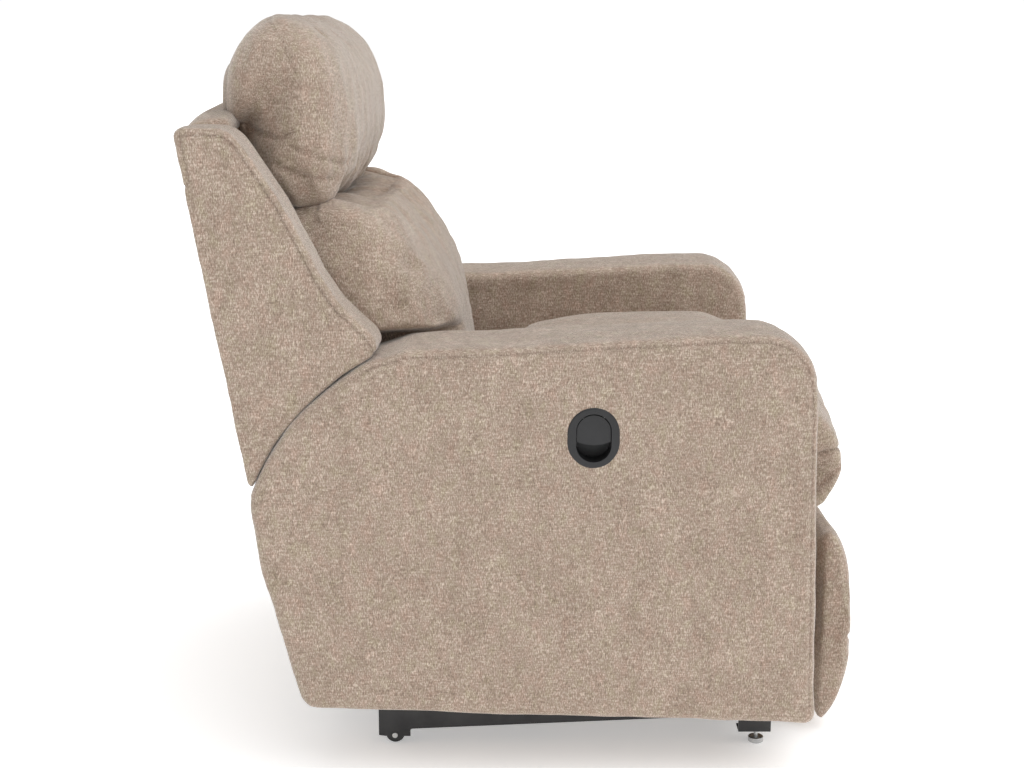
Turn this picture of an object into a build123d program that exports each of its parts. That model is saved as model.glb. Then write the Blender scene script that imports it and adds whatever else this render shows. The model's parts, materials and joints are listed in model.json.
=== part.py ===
from build123d import *

import math
import os

# Recliner armchair. Millimetres, +Z up. The origin is on the floor under the middle of the
# chair, the front faces -Y, and the sitter's right hand is at -X. Side views are drawn in
# the plane of +Y (to the back) and +Z (up), so outline points are (y, z).

# ---- driving dimensions -------------------------------------------------------------
CHAIR_WIDTH = 864
ARM_WIDTH = 158
ARM_OUTER = CHAIR_WIDTH / 2
ARM_INNER = ARM_OUTER - ARM_WIDTH

# Slide track: the two rails rise gently to the front.
TRACK_SLOPE = 0.045
TRACK_Z0 = 47.1
RAIL_OUTER = 307
RAIL_WIDTH = 26
RAIL_HEIGHT = 30
RAIL_WALL = 2.5
RAIL_REAR = 180
RAIL_FRONT = -345

# Recline geometry, side view.
BACK_PIVOT = (225, 318)
LINK_TOP = (164.44, 393)
LINK_FOOT = (2, 76)

# Footrest geometry, side view. The two long links and the crossing link make a true
# parallelogram, so the crossing link keeps its direction as the footrest opens.
LIFT_PIVOT = (-240, 325)
PARALLEL_STEP = (78, -20)
FRONT_STEP_PIVOT = (LIFT_PIVOT[0] + PARALLEL_STEP[0], LIFT_PIVOT[1] + PARALLEL_STEP[1])
CROSS_PIVOT = (-148, 194)
CROSS_REACH = 3.11
LONG_REACH = 1.417
FOOT_PIVOT_DROP = 100

# Distances from the middle of the chair to the outer face of each layer of steel.
PLATE_X = 271.5
LAYER_1 = 266.5
LAYER_2 = 261.5
LAYER_3 = 256.5
STEEL = 3
LINK_WIDTH = 22
PIN_RADIUS = 3.95
HOLE_RADIUS = 4
HEAD_RADIUS = 7
WASHER_RADIUS = 8

ROLLER_RADIUS = 12.4
ROLLER_WIDTH = 9
FRONT_ROLLER_Y = -150
REAR_ROLLER_Y = 165

WHEEL_RADIUS = 14
WHEEL_Y = 203
WHEEL_X = 294

LEVELLER_Y = -336
LEVELLER_X = 296
FOOT_RADIUS = 11.5
FOOT_HEIGHT = 8.5

# Side-view places of the bolts that hold each arm to its carriage plate.
ARM_BOLTS = [(-20, 143), (110, 143), (55, 285)]

SEAT_HALF = 268
WING_OUTER = 420
WING_INNER = 345

# Seat frame, springs and cushion. FRAME_Z is the side rails' lower and upper edge.
SIDE_RAIL_X = (229, 249)
FRAME_Z = (302, 346)
FRAME_FRONT = -400
FRAME_REAR = 195
FRAME_BOARD = 20
TORQUE_RADIUS = 9.5
SPRING_X = (-170, -57, 57, 170)
SPRING_Z = 348.2
SEAT_SIDE = [
    (78, 352),
    (80, 548),
    (40, 570),
    (-112, 602),
    (-230, 608),
    (-336, 592),
    (-417, 520),
    (-452, 445),
    (-458, 400),
    (-452, 352),
]

# The arc that the arm's rear and the back's wing share, and the arm's hollow.
ARM_CENTRE = (48, 283)
ARM_ARC_RADIUS = 363
ARM_WALL = 26
ARM_POCKET = [
    (-358, 60),
    (290, 60),
    (340, 300),
    (345, 400),
    (215, 545),
    (-330, 590),
    (-352, 560),
]

# Release handle on the sitter's right arm, and the footrest's latch.
HANDLE_CENTRE = (-82, 501)
HANDLE_WIDTH = 72
HANDLE_HEIGHT = 85
HANDLE_RING = 12
HANDLE_PROUD = 4
CUP_DEPTH = 30
CUP_WALL = 2.5
PADDLE_HINGE_Z = 528
LATCH_PIVOT = (-205, 292)

# The board and the loose cloth that close the seat behind.
REAR_SKIRT = [(300, 112), (313, 112), (367, 290), (354, 290)]
REAR_FLAP = [(361, 292), (364, 292), (386, 421), (383, 421)]

# The back: its lowest rear point, its lean, its posts and the gaps at its joints.
BACK_FOOT = (391, 429)
BACK_LEAN = math.radians(10.1)
WING_ARC_RADIUS = 368
POST_X = (243.5, 263.5)
POST_IN = (14, 62)
JOINT_GAP = 0.2

# Footrest pivots that follow from the ones above, its board and its pad.
LIFT_END = (
    LIFT_PIVOT[0] + LONG_REACH * (CROSS_PIVOT[0] - LIFT_PIVOT[0]),
    LIFT_PIVOT[1] + LONG_REACH * (CROSS_PIVOT[1] - LIFT_PIVOT[1]),
)
CROSS_END = (CROSS_PIVOT[0] + PARALLEL_STEP[0], CROSS_PIVOT[1] + PARALLEL_STEP[1])
FOOT_UPPER = (
    CROSS_PIVOT[0] - CROSS_REACH * PARALLEL_STEP[0],
    CROSS_PIVOT[1] - CROSS_REACH * PARALLEL_STEP[1],
)
FOOT_LOWER = (FOOT_UPPER[0], FOOT_UPPER[1] - FOOT_PIVOT_DROP)
BOARD_REAR = -405
BOARD_FRONT = -423
PAD_SIDE = [
    (BOARD_FRONT - 0.5, 22),
    (BOARD_FRONT - 0.5, 314),
    (-447, 314),
    (-466, 272),
    (-479, 225),
    (-482, 170),
    (-476, 95),
    (-455, 42),
    (-436, 20),
]

os.makedirs("parts", exist_ok=True)


# ---- helpers ------------------------------------------------------------------------
def save(piece, name):
    """Labels a finished piece and writes its STEP file."""
    piece.part.label = name
    export_step(piece.part, f"parts/{name}.step")


def track_z(y):
    """Height of the roller centres above the floor at depth y."""
    return TRACK_Z0 - TRACK_SLOPE * y


def between(start, end, share):
    """The side-view point a given share of the way from start to end."""
    return tuple(a + (b - a) * share for a, b in zip(start, end))


def plate(outline, x_low, thickness, corner=0, holes=()):
    """A flat piece cut to a side-view outline, with round holes (y, z, radius)."""
    with BuildPart() as piece:
        with BuildSketch(Plane.YZ.offset(x_low)) as profile:
            with BuildLine():
                Polyline(*outline, close=True)
            make_face()
            if corner:
                fillet(profile.vertices(), corner)
            for y, z, radius in holes:
                with Locations((y, z)):
                    Circle(radius, mode=Mode.SUBTRACT)
        extrude(amount=thickness)
    return piece


def mirrored(piece):
    """The same piece on the other side of the chair."""
    with BuildPart() as twin:
        mirror(piece.part, about=Plane.YZ)
    return twin


def pair(piece):
    """One node with a piece and its mirror image, as two separate solids."""
    with BuildPart() as both:
        add(piece.part)
        mirror(piece.part, about=Plane.YZ)
    return both


def save_sides(piece, name):
    """Writes a right-hand piece and its mirror image as two nodes."""
    save(piece, f"{name}_right")
    save(mirrored(piece), f"{name}_left")


def link_bar(start, end, outer_x, holes):
    """A flat round-ended bar between two pivots; outer_x is its outer face."""
    length = math.dist(start, end)
    angle = math.degrees(math.atan2(end[1] - start[1], end[0] - start[0]))
    with BuildPart() as bar:
        with BuildSketch(Plane.YZ.offset(-outer_x)):
            with Locations(between(start, end, 0.5)):
                SlotCenterToCenter(length, LINK_WIDTH, rotation=angle)
            for (y, z), radius in holes:
                with Locations((y, z)):
                    Circle(radius, mode=Mode.SUBTRACT)
        extrude(amount=STEEL)
    return bar


def stepped_pin(centre, steps):
    """A turned pin along X; each step is (outer x, inner x, radius)."""
    with BuildPart() as pin:
        for outer_x, inner_x, radius in steps:
            with BuildSketch(Plane.YZ.offset(-outer_x)):
                with Locations(centre):
                    Circle(radius)
            extrude(amount=outer_x - inner_x)
    return pin


def board(x_low, x_high, y_low, y_high, z_low, z_high):
    """A square-cut board between two corners."""
    with BuildPart() as piece:
        with Locations(((x_low + x_high) / 2, (y_low + y_high) / 2, (z_low + z_high) / 2)):
            Box(x_high - x_low, y_high - y_low, z_high - z_low)
    return piece


def gather(pieces):
    """Several separate solids that share one node."""
    with BuildPart() as group:
        for piece in pieces:
            add(piece.part)
    return group


def soft_block(outline, half_width, corner, edge):
    """A cushion: a rounded side-view outline across the chair, with rounded sides."""
    with BuildPart() as block:
        with BuildSketch(Plane.YZ.offset(-half_width)) as profile:
            with BuildLine():
                Polyline(*outline, close=True)
            make_face()
            fillet(profile.vertices(), corner)
        extrude(amount=2 * half_width)
        ends = block.faces().filter_by(Axis.X)
        fillet(ends.edges(), edge)
    return block


# ---- base: rails, cross tubes, brackets ---------------------------------------------
def rail():
    """A C-channel open to the middle of the chair, along the sloping track."""
    half = RAIL_HEIGHT / 2
    inside = half - RAIL_WALL
    with BuildPart() as channel:
        with BuildSketch(Plane.YZ.offset(-RAIL_OUTER)):
            with BuildLine():
                Polyline(
                    (RAIL_REAR, track_z(RAIL_REAR) - half),
                    (RAIL_REAR, track_z(RAIL_REAR) + half),
                    (RAIL_FRONT, track_z(RAIL_FRONT) + half),
                    (RAIL_FRONT, track_z(RAIL_FRONT) - half),
                    close=True,
                )
            make_face()
        extrude(amount=RAIL_WIDTH)
        with BuildSketch(Plane.YZ.offset(-RAIL_OUTER + RAIL_WALL)):
            with BuildLine():
                Polyline(
                    (RAIL_REAR, track_z(RAIL_REAR) - inside),
                    (RAIL_REAR, track_z(RAIL_REAR) + inside),
                    (RAIL_FRONT, track_z(RAIL_FRONT) + inside),
                    (RAIL_FRONT, track_z(RAIL_FRONT) - inside),
                    close=True,
                )
            make_face()
        extrude(amount=RAIL_WIDTH, mode=Mode.SUBTRACT)
    return channel


def cross_tube(y, z_low, half_length, size=25, wall=2):
    """A square steel tube across the chair."""
    with BuildPart() as tube:
        with BuildSketch(Plane.YZ.offset(-half_length)):
            with Locations((y, z_low + size / 2)):
                RectangleRounded(size, size, 3)
                Rectangle(size - 2 * wall, size - 2 * wall, mode=Mode.SUBTRACT)
        extrude(amount=2 * half_length)
    return tube


def wheel_bracket():
    """A folded steel housing at the rail's rear end, with a cheek each side of the wheel."""
    outline = [
        (RAIL_REAR, 12.5),
        (WHEEL_Y - 12, 12.5),
        (WHEEL_Y - 7, 7),
        (WHEEL_Y + 7, 7),
        (WHEEL_Y + 12, 12.5),
        (WHEEL_Y + 24, 14),
        (WHEEL_Y + 24, 54),
        (RAIL_REAR, 54),
    ]
    hole = [(WHEEL_Y, WHEEL_RADIUS, 2.5)]
    outer = plate(outline, -RAIL_OUTER, RAIL_WALL, holes=hole)
    inner = plate(outline, -RAIL_OUTER + RAIL_WIDTH - RAIL_WALL, RAIL_WALL, holes=hole)
    cheek_gap = RAIL_OUTER - RAIL_WALL, RAIL_OUTER - RAIL_WIDTH + RAIL_WALL
    with BuildPart() as bracket:
        add(outer.part)
        add(inner.part)
        add(board(-cheek_gap[0], -cheek_gap[1], RAIL_REAR, WHEEL_Y + 24, 51.5, 54).part)
        add(board(-cheek_gap[0], -cheek_gap[1], WHEEL_Y + 21.5, WHEEL_Y + 24, 30, 52).part)
    return bracket


def wheel():
    """A small plastic wheel with a rounded tread, a hub and a bore."""
    with BuildPart() as tyre:
        with BuildSketch(Plane.YZ.offset(-WHEEL_X - 7)):
            with Locations((WHEEL_Y, WHEEL_RADIUS)):
                Circle(WHEEL_RADIUS)
        extrude(amount=14)
        fillet(tyre.edges(), 2)
        with BuildSketch(Plane.YZ.offset(-WHEEL_X - 8.5)):
            with Locations((WHEEL_Y, WHEEL_RADIUS)):
                Circle(5)
        extrude(amount=17)
        with BuildSketch(Plane.YZ.offset(-WHEEL_X - 10)):
            with Locations((WHEEL_Y, WHEEL_RADIUS)):
                Circle(2.55)
        extrude(amount=20, mode=Mode.SUBTRACT)
    return tyre


def leveller_bracket():
    """A tab under the front of the rail that holds the leveller's nut."""
    y_front, y_rear = LEVELLER_Y - 20, LEVELLER_Y + 28
    rail_bottom = track_z(RAIL_FRONT) - RAIL_HEIGHT / 2
    with BuildPart() as bracket:
        add(board(-RAIL_OUTER, -RAIL_OUTER + RAIL_WALL, y_front, y_rear, 20.5, 44).part)
        add(board(-RAIL_OUTER, -RAIL_OUTER + 24, y_front, y_rear, 20.5, 23).part)
        add(board(-RAIL_OUTER - RAIL_WALL, -RAIL_OUTER, y_front, y_rear, 20.5, rail_bottom + 22).part)
        with Locations((-LEVELLER_X, LEVELLER_Y, 21)):
            Cylinder(3.1, 12, mode=Mode.SUBTRACT)
    return bracket


def leveller():
    """A nylon foot disc on a steel stud."""
    with BuildPart() as foot:
        with BuildSketch(Plane.XY):
            with Locations((-LEVELLER_X, LEVELLER_Y)):
                Circle(FOOT_RADIUS)
        extrude(amount=FOOT_HEIGHT)
        fillet(foot.edges(), 1.5)
        with BuildSketch(Plane.XY.offset(FOOT_HEIGHT)):
            with Locations((-LEVELLER_X, LEVELLER_Y)):
                Circle(3.05)
        extrude(amount=27)
    return foot


def leveller_nut():
    """The weld nut on top of the leveller's tab."""
    with BuildPart() as nut:
        with BuildSketch(Plane.XY.offset(23)):
            with Locations((-LEVELLER_X, LEVELLER_Y)):
                RegularPolygon(5.5, 6)
                Circle(3.1, mode=Mode.SUBTRACT)
        extrude(amount=5)
    return nut


def link_lug():
    """The tab on the middle tube that the recline link turns on, with its pin."""
    y, z = LINK_FOOT
    outline = [(y - 13, 58), (y + 13, 58), (y + 11, z + 10), (y - 11, z + 10)]
    tab = plate(outline, -LAYER_3, STEEL, holes=[(y, z, HOLE_RADIUS)])
    pin = stepped_pin(
        LINK_FOOT,
        [
            (LAYER_2 + 1.5, LAYER_2, HEAD_RADIUS),
            (LAYER_2, LAYER_2 - STEEL, PIN_RADIUS),
            (LAYER_2 - STEEL, LAYER_3, WASHER_RADIUS),
            (LAYER_3, LAYER_3 - STEEL, HOLE_RADIUS),
            (LAYER_3 - STEEL, LAYER_3 - STEEL - 1.5, HEAD_RADIUS),
        ],
    )
    with BuildPart() as lug:
        add(tab.part)
        add(pin.part)
    return lug


save_sides(rail(), "base_rail")
save(cross_tube(-320, 49, RAIL_OUTER - RAIL_WIDTH), "front_cross_tube")
save(cross_tube(LINK_FOOT[0], 33, RAIL_OUTER - RAIL_WIDTH), "middle_cross_tube")
save(cross_tube(200, 27, RAIL_OUTER - RAIL_WIDTH), "rear_cross_tube")
save_sides(wheel_bracket(), "wheel_bracket")
save_sides(gather([leveller_bracket(), leveller_nut()]), "leveller_bracket")
save(pair(link_lug()), "recline_link_lugs")

wheel_axle = stepped_pin(
    (WHEEL_Y, WHEEL_RADIUS),
    [(RAIL_OUTER + 1.5, RAIL_OUTER, 4), (RAIL_OUTER, RAIL_OUTER - RAIL_WIDTH - 1, 2.5)],
)
save(pair(wheel_axle), "wheel_axles")
save_sides(wheel(), "rear_wheel")
save_sides(leveller(), "leveller")


# ---- carriage: side plates, rollers, pins -------------------------------------------
def carriage_plate():
    """The steel side plate that joins the rollers, the footrest pivots and the back pivot."""
    leg_foot = 36
    outline = [
        (FRONT_ROLLER_Y - 20, leg_foot),
        (FRONT_ROLLER_Y + 20, leg_foot),
        (FRONT_ROLLER_Y + 30, 110),
        (REAR_ROLLER_Y - 25, 110),
        (REAR_ROLLER_Y - 16, leg_foot - 8),
        (REAR_ROLLER_Y + 16, leg_foot - 8),
        (REAR_ROLLER_Y + 40, 200),
        (BACK_PIVOT[0] + 20, BACK_PIVOT[1] - 8),
        (BACK_PIVOT[0] + 16, BACK_PIVOT[1] + 18),
        (BACK_PIVOT[0] - 16, BACK_PIVOT[1] + 20),
        (LIFT_PIVOT[0] - 18, LIFT_PIVOT[1] + 16),
        (LIFT_PIVOT[0] - 20, LIFT_PIVOT[1] - 12),
        (FRONT_ROLLER_Y - 30, 150),
    ]
    holes = [
        (*BACK_PIVOT, HOLE_RADIUS),
        (*LIFT_PIVOT, HOLE_RADIUS),
        (*FRONT_STEP_PIVOT, HOLE_RADIUS),
        (FRONT_ROLLER_Y, track_z(FRONT_ROLLER_Y), HOLE_RADIUS),
        (REAR_ROLLER_Y, track_z(REAR_ROLLER_Y), HOLE_RADIUS),
        (20, 220, 50),
        (-75, 215, 32),
        (125, 215, 38),
        *[(y, z, HOLE_RADIUS) for y, z in ARM_BOLTS],
    ]
    return plate(outline, -PLATE_X, STEEL, corner=8, holes=holes)


def roller_axle(y):
    """A headed stud from the carriage plate out into the rail."""
    inner = PLATE_X - STEEL
    return stepped_pin(
        (y, track_z(y)),
        [
            (RAIL_OUTER - 5, PLATE_X, PIN_RADIUS),
            (PLATE_X, inner, HOLE_RADIUS),
            (inner, inner - 1.5, HEAD_RADIUS),
        ],
    )


def roller(y):
    """A nylon roller that runs inside the rail."""
    with BuildPart() as wheel_body:
        with BuildSketch(Plane.YZ.offset(-RAIL_OUTER + 5)):
            with Locations((y, track_z(y))):
                Circle(ROLLER_RADIUS)
                Circle(HOLE_RADIUS, mode=Mode.SUBTRACT)
        extrude(amount=ROLLER_WIDTH)
    return wheel_body


def seat_pin(centre):
    """A shoulder pin from the carriage plate through the first link layer."""
    return stepped_pin(
        centre,
        [
            (PLATE_X + 1.5, PLATE_X, HEAD_RADIUS),
            (PLATE_X, PLATE_X - STEEL, HOLE_RADIUS),
            (PLATE_X - STEEL, LAYER_1, WASHER_RADIUS),
            (LAYER_1, LAYER_1 - STEEL, PIN_RADIUS),
            (LAYER_1 - STEEL, LAYER_1 - STEEL - 1.5, HEAD_RADIUS),
        ],
    )


save_sides(carriage_plate(), "carriage_plate")
save(
    gather([pair(roller_axle(FRONT_ROLLER_Y)), pair(roller_axle(REAR_ROLLER_Y))]),
    "roller_axles",
)
save(pair(roller(FRONT_ROLLER_Y)), "front_rollers")
save(pair(roller(REAR_ROLLER_Y)), "rear_rollers")
save(
    gather([pair(seat_pin(LIFT_PIVOT)), pair(seat_pin(FRONT_STEP_PIVOT))]),
    "footrest_pivot_pins",
)
save(pair(seat_pin(BACK_PIVOT)), "back_pivot_pins")


# ---- seat: frame, springs, cushion --------------------------------------------------


def side_board():
    """A seat side rail, bored for the footrest's torque tube."""
    outline = [
        (FRAME_FRONT + FRAME_BOARD, FRAME_Z[0]),
        (FRAME_REAR, FRAME_Z[0]),
        (FRAME_REAR, FRAME_Z[1]),
        (FRAME_FRONT + FRAME_BOARD, FRAME_Z[1]),
    ]
    bore = [(*LIFT_PIVOT, TORQUE_RADIUS + 1)]
    return plate(outline, -SIDE_RAIL_X[1], FRAME_BOARD, holes=bore)


def frame_bolt(y):
    """A bolt and its spacer from the carriage plate to the seat's side rail."""
    return stepped_pin(
        (y, 312),
        [(PLATE_X - STEEL, SIDE_RAIL_X[1], 6)],
    )


def zigzag_spring(x, start, end, loops, swing=22, wire=1.9):
    """A zigzag spring wire between two side-view points, beside the plane at x."""
    half_turns = 2 * loops
    points = [(x, *start)]
    for turn in range(half_turns):
        side = swing if turn % 2 else -swing
        points.append((x + side, *between(start, end, (turn + 0.5) / half_turns)))
    points.append((x, *end))
    bend = math.dist(start, end) / half_turns * 0.42
    with BuildPart() as spring:
        with BuildLine() as path:
            FilletPolyline(*points, radius=bend)
        with BuildSketch(Plane(origin=path.line @ 0, z_dir=path.line % 0)):
            Circle(wire)
        sweep()
    return spring


save_sides(side_board(), "seat_side_rail")
seat_front_rail = board(
    -SIDE_RAIL_X[1], SIDE_RAIL_X[1], FRAME_FRONT, FRAME_FRONT + FRAME_BOARD, 318, FRAME_Z[1]
)
seat_rear_rail = board(
    -SIDE_RAIL_X[0], SIDE_RAIL_X[0], FRAME_REAR - FRAME_BOARD, FRAME_REAR, *FRAME_Z
)
save(seat_front_rail, "seat_front_rail")
save(seat_rear_rail, "seat_rear_rail")
save(gather([pair(frame_bolt(-95)), pair(frame_bolt(55))]), "frame_bolts")
seat_springs = [
    zigzag_spring(x, (FRAME_REAR, SPRING_Z), (FRAME_FRONT, SPRING_Z), loops=11)
    for x in SPRING_X
]
save(gather(seat_springs), "seat_springs")
save(soft_block(SEAT_SIDE, SEAT_HALF, 16, 14), "seat_cushion")


# ---- arms ---------------------------------------------------------------------------


def arc_point(radius, angle):
    """A side-view point round the arm's arc centre, by its angle above level."""
    turn = math.radians(angle)
    return (ARM_CENTRE[0] + radius * math.cos(turn), ARM_CENTRE[1] + radius * math.sin(turn))


def arm_profile_lines():
    """The arm's side outline: slanted rear, arc under the back's wing, rising top."""
    arc_start, arc_middle, arc_end = [arc_point(ARM_ARC_RADIUS, a) for a in (23.5, 43, 63)]
    ThreePointArc(arc_start, arc_middle, arc_end)
    Polyline(
        arc_end,
        (170, 618),
        (60, 622),
        (-120, 634),
        (-318, 640),
        (-376, 602),
        (-385, 545),
        (-398, 84),
        (-36, 94),
        (313, 106),
        (328, 125),
        (374, 299),
        (388, 405),
        arc_start,
    )


def arm_body():
    """The arm's upholstered outer shape, over its wooden frame."""
    with BuildPart() as body:
        with BuildSketch(Plane.YZ.offset(-ARM_OUTER)):
            with BuildLine():
                arm_profile_lines()
            make_face()
        extrude(amount=ARM_WIDTH)
        outer = body.faces().filter_by(Axis.X)
        chamfer(outer.edges(), 9)
    return body


def arm_cover(handle_hole):
    """The arm's padding and cover: a shell that is open underneath, with a handle hole."""
    with BuildPart() as cover:
        add(arm_body().part)
        with BuildSketch(Plane.YZ.offset(-ARM_OUTER + ARM_WALL)):
            with BuildLine():
                Polyline(*ARM_POCKET, close=True)
            make_face()
        extrude(amount=ARM_WIDTH - 2 * ARM_WALL, mode=Mode.SUBTRACT)
        with BuildSketch(Plane.YZ.offset(-ARM_INNER - ARM_WALL)):
            with Locations(*ARM_BOLTS):
                Circle(HOLE_RADIUS)
        extrude(amount=ARM_WALL, mode=Mode.SUBTRACT)
        if handle_hole:
            with BuildSketch(Plane.YZ.offset(-ARM_OUTER)):
                with Locations(HANDLE_CENTRE):
                    SlotOverall(HANDLE_HEIGHT - 10, HANDLE_WIDTH - 10, rotation=90)
            extrude(amount=ARM_WALL, mode=Mode.SUBTRACT)
    return cover


def arm_frame():
    """The arm's wooden frame: posts, rails and a top board, each its own board."""
    x_out, x_in = -ARM_OUTER + ARM_WALL + 1, -ARM_INNER - ARM_WALL - 1
    holes = [(y, z, HOLE_RADIUS) for y, z in ARM_BOLTS]
    front_post = board(x_out, x_in, -350, -322, 110, 555)
    rear_post = board(x_out, x_in, 240, 268, 112, 430)
    bottom_rail = plate(
        [(-320, 112), (238, 112), (238, 175), (-320, 175)], x_in - 20, 20, holes=holes[:2]
    )
    top_rail = board(x_out + 40, x_in, -320, 100, 533, 551)
    stile = plate([(30, 177), (80, 177), (80, 531), (30, 531)], x_in - 20, 20, holes=holes[2:])
    return gather([front_post, rear_post, bottom_rail, top_rail, stile])


def arm_bolt(centre):
    """A bolt from the arm's frame through its cover and the carriage plate."""
    board_face = ARM_INNER + ARM_WALL + 21
    plate_face = PLATE_X - STEEL
    return stepped_pin(
        centre,
        [
            (board_face + 4, board_face, 9),
            (board_face, plate_face, HOLE_RADIUS),
            (plate_face, plate_face - 1.4, HEAD_RADIUS),
        ],
    )


# ---- release handle on the sitter's right arm ---------------------------------------


def handle_bezel():
    """The oval ring on the arm's face and the finger cup behind it."""
    opening_h = HANDLE_HEIGHT - 2 * 9
    opening_w = HANDLE_WIDTH - 2 * HANDLE_RING
    face = -ARM_OUTER
    with BuildPart() as bezel:
        with BuildSketch(Plane.YZ.offset(face - HANDLE_PROUD)):
            with Locations(HANDLE_CENTRE):
                SlotOverall(HANDLE_HEIGHT, HANDLE_WIDTH, rotation=90)
        extrude(amount=HANDLE_PROUD)
        fillet(bezel.edges().group_by(Axis.X)[0], 2.5)
        with BuildSketch(Plane.YZ.offset(face)):
            with Locations(HANDLE_CENTRE):
                SlotOverall(opening_h + 2 * CUP_WALL, opening_w + 2 * CUP_WALL, rotation=90)
        extrude(amount=CUP_DEPTH)
        with BuildSketch(Plane.YZ.offset(face - HANDLE_PROUD)):
            with Locations(HANDLE_CENTRE):
                SlotOverall(opening_h, opening_w, rotation=90)
        extrude(amount=HANDLE_PROUD + CUP_DEPTH - CUP_WALL, mode=Mode.SUBTRACT)
        with BuildSketch(Plane.XZ.offset(-HANDLE_CENTRE[0] - 27)):
            with Locations((face + 5, PADDLE_HINGE_Z)):
                Circle(1.5)
        extrude(amount=54, mode=Mode.SUBTRACT)
    return bezel


def handle_paddle():
    """The pull flap that covers the top half of the cup, hinged at its top edge."""
    face = -ARM_OUTER
    y_mid = HANDLE_CENTRE[0]
    half = HANDLE_WIDTH / 2 - HANDLE_RING - 1
    with BuildPart() as paddle:
        with BuildSketch(Plane.YZ.offset(face - 1)):
            with BuildLine():
                Line((y_mid - half, 512), (y_mid - half, 496))
                ThreePointArc((y_mid - half, 496), (y_mid, 491), (y_mid + half, 496))
                Line((y_mid + half, 496), (y_mid + half, 512))
                ThreePointArc((y_mid + half, 512), (y_mid, 532.5), (y_mid - half, 512))
            make_face()
        extrude(amount=6)
        with BuildSketch(Plane.YZ.offset(face + 1)):
            with Locations((y_mid, PADDLE_HINGE_Z - 1)):
                Rectangle(12, 6)
        extrude(amount=8)
        with BuildSketch(Plane.XZ.offset(-y_mid - 30)):
            with Locations((face + 5, PADDLE_HINGE_Z)):
                Circle(1.55)
        extrude(amount=60, mode=Mode.SUBTRACT)
        with BuildSketch(Plane.XZ.offset(-y_mid + 7)):
            with Locations((face + 5, PADDLE_HINGE_Z)):
                Circle(3)
        extrude(amount=5, mode=Mode.SUBTRACT)
    return paddle


def paddle_pin():
    """The steel pin that the paddle turns on, held in the cup's walls."""
    with BuildPart() as pin:
        with BuildSketch(Plane.XZ.offset(-HANDLE_CENTRE[0] - 19.5)):
            with Locations((-ARM_OUTER + 5, PADDLE_HINGE_Z)):
                Circle(1.5)
        extrude(amount=39)
    return pin


def paddle_spring():
    """The coil spring round the paddle's pin, as the tube that its turns fill."""
    with BuildPart() as spring:
        with BuildSketch(Plane.XZ.offset(-HANDLE_CENTRE[0] + 7.5)):
            with Locations((-ARM_OUTER + 5, PADDLE_HINGE_Z)):
                Circle(2.6)
                Circle(1.8, mode=Mode.SUBTRACT)
        extrude(amount=4)
    return spring


save(arm_cover(handle_hole=True), "arm_cover_right")
save(mirrored(arm_cover(handle_hole=False)), "arm_cover_left")
save_sides(arm_frame(), "arm_frame")
save(gather([pair(arm_bolt(centre)) for centre in ARM_BOLTS]), "arm_bolts")
save(handle_bezel(), "handle_bezel")
save(handle_paddle(), "handle_paddle")
save(gather([paddle_pin(), paddle_spring()]), "paddle_pin")


# ---- footrest latch -----------------------------------------------------------------


def latch_pawl():
    """The pawl that holds the folded footrest's torque tube until the paddle is pulled."""
    y, z = LATCH_PIVOT
    outline = [
        (y - 6, z - 8),
        (y + 6, z - 8),
        (y + 8, z + 6),
        (LIFT_PIVOT[0] + 20, LIFT_PIVOT[1] + 8),
        (LIFT_PIVOT[0] + 11, LIFT_PIVOT[1] + 6),
        (LIFT_PIVOT[0] + 12, LIFT_PIVOT[1] - 6),
    ]
    return plate(outline, -SIDE_RAIL_X[0] + 5, 4, holes=[(y, z, HOLE_RADIUS)])


def latch_bracket():
    """A tab under the side rail with the pawl's pin."""
    y, z = LATCH_PIVOT
    tab = plate(
        [(y - 10, z - 10), (y + 10, z - 10), (y + 10, 330), (y - 10, 330)],
        -SIDE_RAIL_X[0],
        STEEL,
        holes=[(y, z, HOLE_RADIUS)],
    )
    x = SIDE_RAIL_X[0]
    pin = stepped_pin(
        LATCH_PIVOT,
        [
            (x, x - STEEL, HOLE_RADIUS),
            (x - STEEL, x - 10, PIN_RADIUS),
            (x - 10, x - 11.5, HEAD_RADIUS),
        ],
    )
    with BuildPart() as bracket:
        add(tab.part)
        add(pin.part)
    return bracket


save(latch_pawl(), "latch_pawl")
save(latch_bracket(), "latch_bracket")


# ---- rear skirt ---------------------------------------------------------------------
save(plate(REAR_SKIRT, -ARM_INNER + 1, 2 * ARM_INNER - 2), "rear_skirt")

save(plate(REAR_FLAP, -ARM_INNER + 6, 2 * ARM_INNER - 12), "rear_flap")


# ---- back ---------------------------------------------------------------------------


def on_back(up, inward):
    """A side-view point: up along the leaning rear face, and inward from it."""
    y = BACK_FOOT[0] + up * math.sin(BACK_LEAN) - inward * math.cos(BACK_LEAN)
    z = BACK_FOOT[1] + up * math.cos(BACK_LEAN) + inward * math.sin(BACK_LEAN)
    return (y, z)


def leaning_board(half_from, half_to, up_low, up_high, in_low, in_high):
    """A board in the leaning back, from one distance off the middle to another."""
    outline = [
        on_back(up_low, in_low),
        on_back(up_high, in_low),
        on_back(up_high, in_high),
        on_back(up_low, in_high),
    ]
    return plate(outline, half_from, half_to - half_from)


def back_bracket():
    """The steel plate that hangs the back on its pivot and takes the recline link."""
    outline = [
        (BACK_PIVOT[0] - 19, BACK_PIVOT[1] - 12),
        (BACK_PIVOT[0] + 19, BACK_PIVOT[1] - 12),
        (352, 455),
        (372, 566),
        (318, 570),
        (182, 424),
        (LINK_TOP[0] - 14, LINK_TOP[1] + 14),
        (LINK_TOP[0] - 14, LINK_TOP[1] - 14),
    ]
    holes = [(*BACK_PIVOT, HOLE_RADIUS), (*LINK_TOP, HOLE_RADIUS)]
    return plate(outline, -LAYER_1, STEEL, corner=8, holes=holes)


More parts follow.
